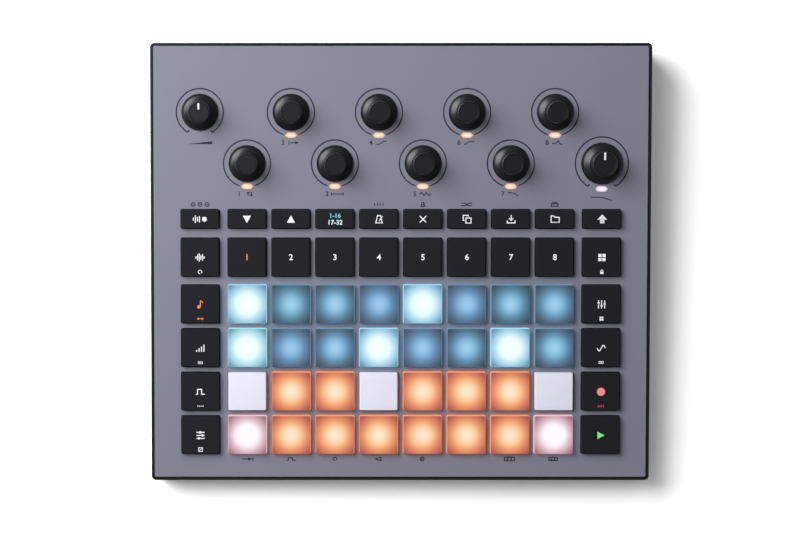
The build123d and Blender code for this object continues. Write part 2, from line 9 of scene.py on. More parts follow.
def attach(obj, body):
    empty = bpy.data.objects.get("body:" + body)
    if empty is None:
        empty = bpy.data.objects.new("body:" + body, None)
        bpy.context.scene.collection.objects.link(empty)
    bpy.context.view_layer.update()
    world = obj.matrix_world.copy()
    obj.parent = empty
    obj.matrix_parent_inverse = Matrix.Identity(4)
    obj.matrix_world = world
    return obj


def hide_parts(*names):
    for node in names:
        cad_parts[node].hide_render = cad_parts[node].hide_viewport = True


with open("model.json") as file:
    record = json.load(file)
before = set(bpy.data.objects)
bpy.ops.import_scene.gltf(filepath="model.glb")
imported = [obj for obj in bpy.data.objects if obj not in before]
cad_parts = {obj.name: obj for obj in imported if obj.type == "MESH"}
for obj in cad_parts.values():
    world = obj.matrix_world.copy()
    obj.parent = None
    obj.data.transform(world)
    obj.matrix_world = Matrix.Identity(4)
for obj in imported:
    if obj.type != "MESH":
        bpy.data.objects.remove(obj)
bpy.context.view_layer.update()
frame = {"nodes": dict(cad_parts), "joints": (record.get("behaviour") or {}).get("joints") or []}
nodes = frame["nodes"]
mm = 0.001
scene = bpy.context.scene
scene.view_settings.view_transform = "Standard"
print("frame loaded:", len(nodes), "nodes")

# The panel slopes, so its pieces are made in its own axes: x right, y up the slope, z out of the surface
knobJoints = {joint["child"]: joint for joint in frame["joints"] if joint["type"] == "hinge"}
panelOut = Vector(knobJoints["volume_knob"]["axis"]).normalized()
panelBack = panelOut.cross(Vector((1, 0, 0)))
onPanel = Vector(knobJoints["volume_knob"]["pos_m"])
panelOrigin = Vector((0, 0, onPanel.z - onPanel.y * panelBack.z / panelBack.y))
panelAxes = Matrix(((1, 0, 0), panelBack, panelOut)).transposed().to_4x4()
panelMatrix = Matrix.Translation(panelOrigin) @ panelAxes


def panelBox(name):
    toPanel = panelMatrix.inverted()
    points = [toPanel @ vertex.co for vertex in nodes[name].data.vertices]
    low = Vector([min(point[axis] for point in points) for axis in range(3)])
    high = Vector([max(point[axis] for point in points) for axis in range(3)])
    return low, high


def topSite(name):
    low, high = panelBox(name)
    return Vector(((low.x + high.x) / 2, (low.y + high.y) / 2, high.z))


def panelSite(point):
    local = panelMatrix.inverted() @ Vector(point)
    return Vector((local.x, local.y, 0))


# sRGB bytes to the linear colour that a socket takes
def tone(red, green, blue):
    linear = []
    for value in (red / 255, green / 255, blue / 255):
        linear.append(value / 12.92 if value <= 0.04045 else ((value + 0.055) / 1.055) ** 2.4)
    return (*linear, 1.0)


# Meshes
meshing = {"merge": 1e-7, "sharp": 35, "cornerSteps": 6}


def addPiece(name, mesh, site, body, material):
    mesh.name = name
    mesh.materials.clear()
    mesh.materials.append(material)
    piece = bpy.data.objects.new(name, mesh)
    scene.collection.objects.link(piece)
    piece.matrix_world = panelMatrix @ Matrix.Translation(site)
    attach(piece, body)
    return piece


def meshFrom(bm, sharpAngle=meshing["sharp"]):
    bmesh.ops.remove_doubles(bm, verts=bm.verts, dist=meshing["merge"])
    bmesh.ops.recalc_face_normals(bm, faces=bm.faces)
    mesh = bpy.data.meshes.new("piece")
    bm.to_mesh(mesh)
    bm.free()
    mesh.shade_smooth()
    mesh.set_sharp_from_angle(angle=math.radians(sharpAngle))
    return mesh


def roundedLoop(width, length, corner, steps=meshing["cornerSteps"]):
    points = []
    for quarter, (sideX, sideY) in enumerate(((1, 1), (-1, 1), (-1, -1), (1, -1))):
        for step in range(steps + 1):
            angle = math.radians(90 * (quarter + step / steps))
            x = sideX * (width / 2 - corner) + corner * math.cos(angle)
            y = sideY * (length / 2 - corner) + corner * math.sin(angle)
            points.append((x, y))
    return points


def loft(bm, loops):
    rings = [[bm.verts.new(point) for point in loop] for loop in loops]
    for lower, upper in zip(rings, rings[1:]):
        for i in range(len(lower)):
            j = (i + 1) % len(lower)
            bm.faces.new((lower[i], lower[j], upper[j], upper[i]))
    bm.faces.new(rings[0])
    bm.faces.new(rings[-1])


def lathe(bm, profile, segments):
    loops = []
    for radius, height in profile:
        turns = [2 * math.pi * i / segments for i in range(segments)]
        loops.append([(radius * math.cos(turn), radius * math.sin(turn), height) for turn in turns])
    loft(bm, loops)


# Ink lies on a surface as a thin closed film: strokes, filled outlines, discs and figures
ink = {"film": 0.03 * mm, "discSteps": 24, "arcStep": 4, "bold": 0.018, "curveSteps": 3, "mitre": 0.35}


def inkShape(bm, outline):
    area = sum(a[0] * b[1] - b[0] * a[1] for a, b in zip(outline, outline[1:] + outline[:1]))
    points = outline if area > 0 else outline[::-1]
    low = [bm.verts.new((x, y, 0)) for x, y in points]
    high = [bm.verts.new((x, y, ink["film"])) for x, y in points]
    for i in range(len(points)):
        j = (i + 1) % len(points)
        bm.faces.new((low[i], low[j], high[j], high[i]))
    bm.faces.new(low[::-1])
    bm.faces.new(high)


def inkStroke(bm, points, width):
    left, right = [], []
    for i, point in enumerate(points):
        before = Vector(points[max(i - 1, 0)])
        after = Vector(points[min(i + 1, len(points) - 1)])
        here = Vector(point)
        sides = []
        for direction in (here - before, after - here):
            if direction.length > 0:
                sides.append(Vector((-direction.y, direction.x)).normalized())
        side = sum(sides, Vector((0, 0))).normalized()
        reach = width / 2 / max(side.dot(sides[0]), ink["mitre"])
        left.append(tuple(here + side * reach))
        right.append(tuple(here - side * reach))
    inkShape(bm, left + right[::-1])


def inkDisc(bm, x, y, radius):
    turns = [2 * math.pi * i / ink["discSteps"] for i in range(ink["discSteps"])]
    inkShape(bm, [(x + radius * math.cos(turn), y + radius * math.sin(turn)) for turn in turns])


def arcPoints(x, y, radius, start, end):
    count = max(2, math.ceil(abs(end - start) / ink["arcStep"]))
    turns = [math.radians(start + (end - start) * i / count) for i in range(count + 1)]
    return [(x + radius * math.cos(turn), y + radius * math.sin(turn)) for turn in turns]


def inkFigures(bm, text, x, y, size):
    curve = bpy.data.curves.new("figures", "FONT")
    curve.body = text
    curve.size = size
    curve.align_x = "CENTER"
    curve.align_y = "CENTER"
    curve.extrude = ink["film"] / 2
    curve.offset = size * ink["bold"]
    curve.resolution_u = ink["curveSteps"]
    holder = bpy.data.objects.new("figures", curve)
    mesh = bpy.data.meshes.new_from_object(holder)
    mesh.transform(Matrix.Translation((x, y, ink["film"] / 2)))
    bm.from_mesh(mesh)
    bpy.data.objects.remove(holder)
    bpy.data.curves.remove(curve)
    bpy.data.meshes.remove(mesh)


# Materials

def newGroup(name, inputs, outputs):
    group = bpy.data.node_groups.new(name, "ShaderNodeTree")
    for socketName, socketType, value in inputs:
        socket = group.interface.new_socket(socketName, in_out="INPUT", socket_type=socketType)
        socket.default_value = value
    for socketName, socketType in outputs:
        group.interface.new_socket(socketName, in_out="OUTPUT", socket_type=socketType)
    return group, group.nodes.new("NodeGroupInput"), group.nodes.new("NodeGroupOutput")


def calc(tree, operation, first, second=None):
    node = tree.nodes.new("ShaderNodeMath")
    node.operation = operation
    for socket, value in zip(node.inputs, (first, second)):
        if isinstance(value, (int, float)):
            socket.default_value = value
        elif value is not None:
            tree.links.new(value, socket)
    return node.outputs[0]


def mixColor(tree, factor, first, second, blend="MIX"):
    node = tree.nodes.new("ShaderNodeMix")
    node.data_type = "RGBA"
    node.blend_type = blend
    for socket, value in zip((node.inputs[0], node.inputs[6], node.inputs[7]), (factor, first, second)):
        if isinstance(value, (int, float, tuple)):
            socket.default_value = value
        else:
            tree.links.new(value, socket)
    return node.outputs[2]


def ramp(tree, value, low, high):
    node = tree.nodes.new("ShaderNodeMapRange")
    node.interpolation_type = "SMOOTHSTEP"
    tree.links.new(value, node.inputs["Value"])
    for socketName, limit in (("From Min", low), ("From Max", high)):
        if isinstance(limit, (int, float)):
            node.inputs[socketName].default_value = limit
        else:
            tree.links.new(limit, node.inputs[socketName])
    return node.outputs["Result"]


def noise(tree, scale, detail):
    place = tree.nodes.new("ShaderNodeTexCoord")
    node = tree.nodes.new("ShaderNodeTexNoise")
    node.inputs["Detail"].default_value = detail
    tree.links.new(place.outputs["Object"], node.inputs["Vector"])
    if isinstance(scale, (int, float)):
        node.inputs["Scale"].default_value = scale
    else:
        tree.links.new(scale, node.inputs["Scale"])
    return node.outputs[0]


# Fine moulded or sprayed grain: speckle in the colour and gloss, and a slight texture in the surface
grainShape = {"fineDetail": 3.0, "broadScale": 28.0, "broadDetail": 2.0, "depth": 0.05}


def makeGrain():
    group, given, made = newGroup(
        "fineGrain",
        [
            ("Color", "NodeSocketColor", (0.5, 0.5, 0.5, 1)),
            ("Variation", "NodeSocketFloat", 0.05),
            ("Scale", "NodeSocketFloat", 1500.0),
            ("Roughness", "NodeSocketFloat", 0.5),
            ("Roughness Spread", "NodeSocketFloat", 0.1),
            ("Bump", "NodeSocketFloat", 0.1),
        ],
        [("Color", "NodeSocketColor"), ("Roughness", "NodeSocketFloat"), ("Normal", "NodeSocketVector")],
    )
    fine = noise(group, given.outputs["Scale"], grainShape["fineDetail"])
    broad = noise(group, grainShape["broadScale"], grainShape["broadDetail"])
    speckle = calc(group, "SUBTRACT", calc(group, "ADD", fine, broad), 1.0)
    shade = calc(group, "ADD", 1.0, calc(group, "MULTIPLY", speckle, given.outputs["Variation"]))
    color = mixColor(group, 1.0, given.outputs["Color"], shade, "MULTIPLY")
    spread = calc(group, "MULTIPLY", speckle, given.outputs["Roughness Spread"])
    bump = group.nodes.new("ShaderNodeBump")
    bump.inputs["Distance"].default_value = grainShape["depth"] * mm
    group.links.new(given.outputs["Bump"], bump.inputs["Strength"])
    group.links.new(fine, bump.inputs["Height"])
    group.links.new(color, made.inputs["Color"])
    group.links.new(calc(group, "ADD", given.outputs["Roughness"], spread), made.inputs["Roughness"])
    group.links.new(bump.outputs["Normal"], made.inputs["Normal"])
    return group


grainGroup = makeGrain()


def newMaterial(name):
    material = bpy.data.materials.new(name)
    material.use_nodes = True
    tree = material.node_tree
    return material, tree, tree.nodes["Principled BSDF"]


def setSockets(node, values):
    for socketName, value in values.items():
        node.inputs[socketName].default_value = value


def addGrain(tree, principled, color, grain):
    group = tree.nodes.new("ShaderNodeGroup")
    group.node_tree = grainGroup
    group.inputs["Color"].default_value = color
    setSockets(group, grain)
    for socketName, target in (("Color", "Base Color"), ("Roughness", "Roughness"), ("Normal", "Normal")):
        tree.links.new(group.outputs[socketName], principled.inputs[target])


def grainFinish(name, color, grain, shader):
    material, tree, principled = newMaterial(name)
    addGrain(tree, principled, color, grain)
    setSockets(principled, shader)
    return material


def grainValues(variation, scale, roughness, spread, bump):
    return {
        "Variation": variation, "Scale": scale, "Roughness": roughness,
        "Roughness Spread": spread, "Bump": bump,
    }


finishes = {
    "panel": grainFinish(
        "panelPaint", tone(127, 127, 143), grainValues(0.05, 2600.0, 0.45, 0.08, 0.10),
        {"Specular IOR Level": 0.5},
    ),
    "case": grainFinish(
        "blackCase", tone(19, 19, 23), grainValues(0.10, 2200.0, 0.42, 0.10, 0.16),
        {"Specular IOR Level": 0.4},
    ),
    "key": grainFinish(
        "keySilicone", tone(24, 24, 32), grainValues(0.08, 2400.0, 0.66, 0.06, 0.10),
        {"Specular IOR Level": 0.22},
    ),
    "knob": grainFinish(
        "knobSatin", tone(13, 13, 21), grainValues(0.08, 3000.0, 0.34, 0.05, 0.05),
        {"Specular IOR Level": 0.6},
    ),
    "pad": grainFinish(
        "clearSilicone", tone(232, 231, 246), grainValues(0.03, 2000.0, 0.55, 0.06, 0.08),
        {"Specular IOR Level": 0.3, "Subsurface Weight": 0.15, "Subsurface Scale": 1.5 * mm},
    ),
    "lamp": grainFinish(
        "lampResin", tone(236, 232, 214), grainValues(0.04, 900.0, 0.25, 0.05, 0.02),
        {"Specular IOR Level": 0.5},
    ),
    "keymat": grainFinish(
        "matSilicone", tone(196, 196, 202), grainValues(0.05, 1400.0, 0.68, 0.08, 0.10),
        {"Specular IOR Level": 0.3},
    ),
    "circuit_board": grainFinish(
        "solderMask", tone(22, 84, 52), grainValues(0.16, 700.0, 0.38, 0.10, 0.06),
        {"Coat Weight": 0.3, "Coat Roughness": 0.2},
    ),
    "component": grainFinish(
        "chipMoulding", tone(38, 38, 40), grainValues(0.10, 1800.0, 0.55, 0.10, 0.15),
        {"Specular IOR Level": 0.4},
    ),
    "metal_can": grainFinish(
        "tinnedSteel", tone(196, 198, 200), grainValues(0.06, 900.0, 0.32, 0.12, 0.06),
        {"Metallic": 1.0},
    ),
    "socket": grainFinish(
        "socketMoulding", tone(26, 26, 28), grainValues(0.08, 1600.0, 0.36, 0.10, 0.08),
        {"Specular IOR Level": 0.5},
    ),
    "battery_wrap": grainFinish(
        "shrinkWrap", tone(74, 104, 148), grainValues(0.08, 500.0, 0.36, 0.12, 0.08),
        {"Coat Weight": 0.2, "Coat Roughness": 0.25},
    ),
    "foot": grainFinish(
        "footRubber", tone(44, 44, 45), grainValues(0.10, 1500.0, 0.80, 0.08, 0.25),
        {"Specular IOR Level": 0.25},
    ),
    "screw": grainFinish(
        "zincPlate", tone(150, 151, 154), grainValues(0.08, 1200.0, 0.34, 0.14, 0.06),
        {"Metallic": 1.0},
    ),
    "print": grainFinish(
        "panelInk", tone(32, 32, 46), grainValues(0.06, 2600.0, 0.55, 0.06, 0.05),
        {"Specular IOR Level": 0.4},
    ),
}
print("finishes:", len(finishes))

trackCount = 8  # track keys, and pads in a row

# CAD pieces keep their shape and take the finish of their slot
cadSlots = {
    "panel": ["faceplate"],
    "case": ["bottom_case"],
    "foot": ["rubber_feet"],
    "circuit_board": ["control_board", "main_board"],
    "lamp": ["key_leds"],
    "keymat": ["keymat"],
    "metal_can": ["encoder_bodies", "potentiometer_bodies", "usb_socket", "card_slot"],
    "component": ["board_components"],
    "socket": ["jack_sockets", "midi_sockets"],
    "battery_wrap": ["battery"],
    "screw": ["screws"],
    "key": [name for name in nodes if "_button" in name],
}


def finishCad():
    for slotName, names in cadSlots.items():
        for name in names:
            mesh = nodes[name].data
            mesh.materials.clear()
            mesh.materials.append(finishes[slotName])


finishCad()
print("CAD finishes set")

# Knob caps, turned from one outline; the two on potentiometers carry a white pointer
knob = {
    "segments": 128, "gap": 0.7, "height": 12.5, "edge": 0.15, "flangeWidth": 1.1, "flangeHeight": 1.2,
    "skirt": 1.15, "hollow": 0.05, "taper": 0.25, "round": 0.5, "rim": 0.75, "dish": 0.35,
    "arcSteps": 12, "roundSteps": 5, "centre": 0.01, "sharp": 25,
    "radius": 8.8, "topInset": 3.6, "filterRadius": 10.0, "filterTopInset": 4.1,
}
pointer = {
    "volume_knob": {"width": 0.9, "outer": 4.2, "inner": 1.2},
    "filter_knob": {"width": 0.9, "outer": 5.5, "inner": 1.8},
}
pointerEdge = {"bevel": 0.08, "corner": 0.2, "cornerSteps": 4}


def bowedPoints(start, end, hollow, steps):
    chord = Vector(end) - Vector(start)
    half = chord.length / 2
    radius = (half * half + hollow * hollow) / (2 * hollow)
    outward = Vector((chord.y, -chord.x)).normalized()
    middle = (Vector(start) + Vector(end)) / 2
    centre = middle + outward * (radius - hollow)
    first = math.atan2(start[1] - centre.y, start[0] - centre.x)
    last = math.atan2(end[1] - centre.y, end[0] - centre.x)
    sweep = (last - first + math.pi) % (2 * math.pi) - math.pi
    turns = [first + sweep * i / steps for i in range(1, steps + 1)]
    return [(centre.x + radius * math.cos(turn), centre.y + radius * math.sin(turn)) for turn in turns]


def knobProfile(radius, topInset):
    top = knob["gap"] + knob["height"]
    side = knob["gap"] + knob["edge"]
    flange = side + knob["flangeHeight"]
    skirtRadius = radius - knob["flangeWidth"]
    topRadius = radius - topInset
    gripRadius = topRadius + knob["taper"]
    dishRadius = topRadius - knob["rim"]
    profile = [(knob["centre"], knob["gap"]), (radius, knob["gap"]), (radius, side), (skirtRadius, flange)]
    gripFoot = (gripRadius, flange + knob["skirt"])
    profile += bowedPoints((skirtRadius, flange), gripFoot, knob["hollow"], knob["arcSteps"])
    for step in range(knob["roundSteps"] + 1):
        turn = math.radians(90 * step / knob["roundSteps"])
        inset, rise = 1 - math.cos(turn), math.sin(turn)
        profile.append((topRadius - knob["round"] * inset, top + knob["round"] * (rise - 1)))
    floor = top - knob["dish"]
    profile += [(dishRadius + knob["dish"], top), (dishRadius, floor), (knob["centre"], floor)]
    return [(r * mm, w * mm) for r, w in profile]


def makePointers():
    white = grainFinish(
        "pointerWhite", tone(238, 238, 240), grainValues(0.03, 1800.0, 0.45, 0.05, 0.04),
        {"Specular IOR Level": 0.4},
    )
    top = knob["gap"] + knob["height"]
    bevel = pointerEdge["bevel"]
    for name, line in pointer.items():
        middle = (line["outer"] + line["inner"]) / 2
        length = line["outer"] - line["inner"]
        loops = []
        for inset, height in ((0, top - knob["dish"]), (0, top - bevel), (bevel, top)):
            corner = pointerEdge["corner"] - inset
            outline = roundedLoop(
                line["width"] - 2 * inset, length - 2 * inset, corner, pointerEdge["cornerSteps"],
            )
            loops.append([(x * mm, (y + middle) * mm, height * mm) for x, y in outline])
        bm = bmesh.new()
        loft(bm, loops)
        site = panelSite(knobJoints[name]["pos_m"])
        addPiece(name + "_pointer", meshFrom(bm), site, name, white)


def makeKnobs():
    for name, joint in knobJoints.items():
        large = name == "filter_knob"
        radius = knob["filterRadius"] if large else knob["radius"]
        inset = knob["filterTopInset"] if large else knob["topInset"]
        bm = bmesh.new()
        lathe(bm, knobProfile(radius, inset), knob["segments"])
        site = panelSite(joint["pos_m"])
        piece = addPiece(name + "_cap", meshFrom(bm, knob["sharp"]), site, name, finishes["knob"])
        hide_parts(name)
    makePointers()


makeKnobs()
print("knobs made:", len(knobJoints))

# Light that shines through silicone or resin: brightest over the lamp, dim in the corners
# and aglow low on the walls, where it spills on the panel
innerLight = {
    "stops": (("Middle", 0.05, 0.72), ("Edge", 0.45, 1.05), ("Corner", 0.9, 1.38)),
    "wallStart": 0.6, "wallEnd": 2.0,
}


def makeInnerLight():
    names = ("Centre", "Middle", "Edge", "Corner", "Wall")
    group, given, made = newGroup(
        "innerLight",
        [(name, "NodeSocketColor", (1, 1, 1, 1)) for name in names]
        + [(name, "NodeSocketFloat", 0.01) for name in ("Half Width", "Half Length", "Top")],
        [("Light", "NodeSocketColor")],
    )
    place = group.nodes.new("ShaderNodeTexCoord")
    split = group.nodes.new("ShaderNodeSeparateXYZ")
    group.links.new(place.outputs["Object"], split.inputs[0])
    across = calc(group, "ABSOLUTE", calc(group, "DIVIDE", split.outputs["X"], given.outputs["Half Width"]))
    along = calc(group, "ABSOLUTE", calc(group, "DIVIDE", split.outputs["Y"], given.outputs["Half Length"]))
    squares = [calc(group, "MULTIPLY", part, part) for part in (across, along)]
    reach = calc(group, "SQRT", calc(group, "ADD", *squares))
    color = given.outputs["Centre"]
    for name, low, high in innerLight["stops"]:
        color = mixColor(group, ramp(group, reach, low, high), color, given.outputs[name])
    depth = calc(group, "SUBTRACT", given.outputs["Top"], split.outputs["Z"])
    wall = ramp(group, depth, innerLight["wallStart"] * mm, innerLight["wallEnd"] * mm)
    group.links.new(mixColor(group, wall, color, given.outputs["Wall"]), made.inputs["Light"])
    return group


innerLightGroup = makeInnerLight()


litSurface = {
    "base": (0.02, 0.02, 0.02, 1), "grain": grainValues(0.05, 2000.0, 0.55, 0.06, 0.08), "gloss": 0.3,
}


def litFinish(name, colors, halfWidth, halfLength, top, strength):
    material, tree, principled = newMaterial(name)
    group = tree.nodes.new("ShaderNodeGroup")
    group.node_tree = innerLightGroup
    for socket, color in zip(group.inputs, colors):
        socket.default_value = tone(*color)
    setSockets(group, {"Half Width": halfWidth, "Half Length": halfLength, "Top": top})
    tree.links.new(group.outputs["Light"], principled.inputs["Emission Color"])
    addGrain(tree, principled, litSurface["base"], litSurface["grain"])
    setSockets(principled, {"Emission Strength": strength, "Specular IOR Level": litSurface["gloss"]})
    return material


# Pads: translucent silicone caps on a common strip, each with its own lamp behind it
pad = {
    "size": 18.65, "corner": 0.8, "leastCorner": 0.2, "draft": 7.0, "edge": 0.3, "steps": 5,
    "root": -2.3, "web": 1.0, "webEdge": 0.1, "strength": 1.0,
}
padLights = {
    "ice": ((246, 252, 252), (232, 254, 255), (156, 205, 229), (94, 140, 167), (160, 226, 250)),
    "mint": ((246, 252, 253), (232, 255, 255), (158, 212, 226), (89, 145, 160), (164, 232, 246)),
    "teal": ((149, 205, 232), (100, 160, 191), (65, 104, 125), (37, 63, 78), (102, 156, 182)),
    "sky": ((151, 202, 234), (102, 160, 196), (70, 101, 125), (46, 63, 79), (104, 150, 184)),
    "blue": ((149, 197, 234), (103, 154, 197), (75, 104, 133), (50, 68, 85), (104, 146, 186)),
    "amber": ((250, 229, 203), (255, 190, 132), (217, 124, 87), (166, 76, 63), (255, 154, 106)),
    "rose": ((252, 249, 253), (255, 247, 255), (209, 168, 179), (153, 106, 115), (248, 194, 206)),
}
padLayout = [
    "ice teal sky blue ice blue teal sky",
    "mint blue sky ice blue sky ice sky",
    "off amber amber off amber amber amber off",
    "rose amber amber amber amber amber amber rose",
]


def padLoops(height):
    lean = math.tan(math.radians(pad["draft"]))
    loops = [(0.0, pad["root"]), (0.0, 0.0)]
    for step in range(pad["steps"] + 1):
        turn = math.radians(90 * step / pad["steps"])
        inset = lean * (height - pad["edge"]) + pad["edge"] * (1 - math.cos(turn))
        loops.append((inset, height - pad["edge"] + pad["edge"] * math.sin(turn)))
    made = []
    for inset, level in loops:
        side = pad["size"] - 2 * inset
        outline = roundedLoop(side, side, max(pad["corner"] - inset, pad["leastCorner"]), pad["steps"])
        made.append([(x * mm, y * mm, level * mm) for x, y in outline])
    return made


def makePads():
    top = panelBox("pad_row_1")[1].z
    half = pad["size"] / 2 * mm - top * math.tan(math.radians(pad["draft"]))
    finish = {
        name: litFinish("padLight_" + name, colors, half, half, top, pad["strength"])
        for name, colors in padLights.items()
    }
    finish["off"] = finishes["pad"]
    columns = [topSite(f"track_button_{i + 1}").x for i in range(trackCount)]
    for row, lights in enumerate(padLayout):
        body = f"pad_row_{row + 1}"
        low, high = panelBox(body)
        middle = (low.y + high.y) / 2
        for column, light in enumerate(lights.split()):
            bm = bmesh.new()
            loft(bm, padLoops(high.z / mm))
            site = Vector((columns[column], middle, 0))
            addPiece(f"pad_{row + 1}_{column + 1}", meshFrom(bm), site, body, finish[light])
        web = bmesh.new()
        loops = []
        edge = pad["webEdge"] * mm
        for inset, level in ((edge, low.z), (0, low.z + edge), (0, low.z + pad["web"] * mm)):
            width = high.x - low.x - 2 * inset
            length = high.y - low.y - 2 * inset
            loops.append([(x, y, level) for x, y in roundedLoop(width, length, pad["corner"] * mm)])
        loft(web, loops)
        strip = addPiece(f"{body}_web", meshFrom(web), Vector((0, middle, 0)), body, finishes["pad"])
        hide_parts(body)


makePads()
print("pads made")

# Lamp windows: six-sided resin light pipes with a low dome
lens = {
    "tip": 1.1, "strength": 1.0, "glowTop": 0.1, "nearKnob": 16.0, "flush": 0.1,
    "dome": ((1.0, 0.05), (0.95, 0.16), (0.82, 0.24), (0.5, 0.3)),
}
lensLights = {
    "encoder": ((255, 234, 212), (255, 222, 194), (248, 178, 142), (206, 120, 92), (176, 96, 76)),
    "filter": ((250, 240, 255), (246, 236, 254), (204, 192, 226), (150, 140, 176), (128, 118, 154)),
}


def lensBox(knobSite):
    toPanel = panelMatrix.inverted()
    points = [toPanel @ vertex.co for vertex in nodes["indicator_lenses"].data.vertices]
    near = [point for point in points if (point - knobSite).length < lens["nearKnob"] * mm]
    tops = [point for point in near if abs(point.z) < lens["flush"] * mm]
    low = Vector([min(point[axis] for point in tops) for axis in range(2)])
    high = Vector([max(point[axis] for point in tops) for axis in range(2)])
    return low, high, min(point.z for point in points)


def makeLenses():
    lamps = [name for name in knobJoints if name != "volume_knob"]
    for name in lamps:
        low, high, root = lensBox(panelSite(knobJoints[name]["pos_m"]))
        halfWidth, halfLength = (high - low) / 2
        side = halfWidth - lens["tip"] * mm
        outline = [
            (halfWidth, 0), (side, halfLength), (-side, halfLength),
            (-halfWidth, 0), (-side, -halfLength), (side, -halfLength),
        ]
        loops = [[(x, y, root) for x, y in outline]]
        loops += [[(x * share, y * share, rise * mm) for x, y in outline] for share, rise in lens["dome"]]
        bm = bmesh.new()
        loft(bm, loops)
        kind = "encoder" if name.startswith("encoder") else "filter"
        glow = litFinish(
            "lensLight_" + name, lensLights[kind], halfWidth, halfLength,
            lens["glowTop"] * mm, lens["strength"],
        )
        middle = (low + high) / 2
        piece = addPiece(name + "_lens", meshFrom(bm), Vector((middle.x, middle.y, 0)), "case", glow)
        if name == lamps[0]:
            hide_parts("indicator_lenses")


makeLenses()
print("lenses made")

# Pictures for keys and panel, drawn on a square from -1 to 1
def sineLine():
    return [(-1 + i / 8, 0.7 * math.sin(math.pi * (-1 + i / 8))) for i in range(17)]


def box(x0, y0, x1, y1):
    return [(x0, y0), (x1, y0), (x1, y1), (x0, y1)]


def closed(points):
    return points + points[:2]


def bars(places, heights):
    return [("line", [(x, -h), (x, h)]) for x, h in zip(places, heights)]


